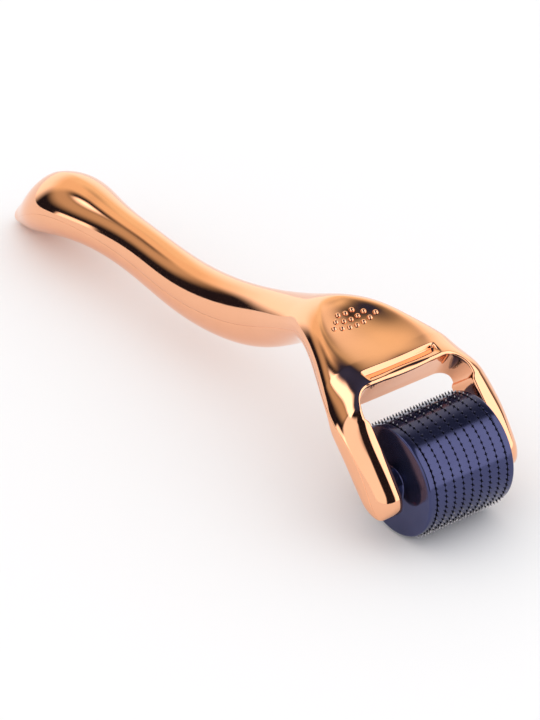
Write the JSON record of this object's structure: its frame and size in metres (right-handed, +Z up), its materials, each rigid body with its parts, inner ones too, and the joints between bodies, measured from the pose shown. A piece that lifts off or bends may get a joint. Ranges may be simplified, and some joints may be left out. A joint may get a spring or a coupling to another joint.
{
  "type": "derma roller",
  "caption": "Derma roller with a curved plated handle, a two-armed yoke, a dished thumb pad with grip dots, and a free-turning drum of needle discs.",
  "frame": {"origin": "under the middle of the object, on the surface it stands on", "axes": "+Z up, X along the drum's axis, +Y from the drum towards the tail of the handle"},
  "size_m": [0.0328, 0.142, 0.0315],
  "materials": {
    "plated_shell": "rose-gold vacuum plating on ABS, mirror gloss",
    "drum_plastic": "dark indigo moulded plastic, gloss",
    "core_plastic": "dark moulded plastic",
    "needle_steel": "etched thin steel sheet",
    "axle_steel": "ground steel pin"
  },
  "bodies": {
    "handle": {"upper_shell": "plated_shell", "lower_shell": "plated_shell", "axle": "axle_steel"},
    "roller": {"core": "core_plastic", "end_cap_left": "drum_plastic", "end_cap_right": "drum_plastic", "needle_disc_1": "needle_steel", "needle_disc_2": "needle_steel", "needle_disc_3": "needle_steel", "needle_disc_4": "needle_steel", "needle_disc_5": "needle_steel", "needle_disc_6": "needle_steel", "needle_disc_7": "needle_steel", "needle_disc_8": "needle_steel", "needle_disc_9": "needle_steel", "spacer_ring_1": "drum_plastic", "spacer_ring_2": "drum_plastic", "spacer_ring_3": "drum_plastic", "spacer_ring_4": "drum_plastic", "spacer_ring_5": "drum_plastic", "spacer_ring_6": "drum_plastic", "spacer_ring_7": "drum_plastic", "spacer_ring_8": "drum_plastic"}
  },
  "joints": [
    {"name": "roller_spin", "type": "hinge", "parent": "handle", "child": "roller", "pos_m": [0, -0.06, 0.011], "axis": [1, 0, 0], "continuous": true}
  ]
}
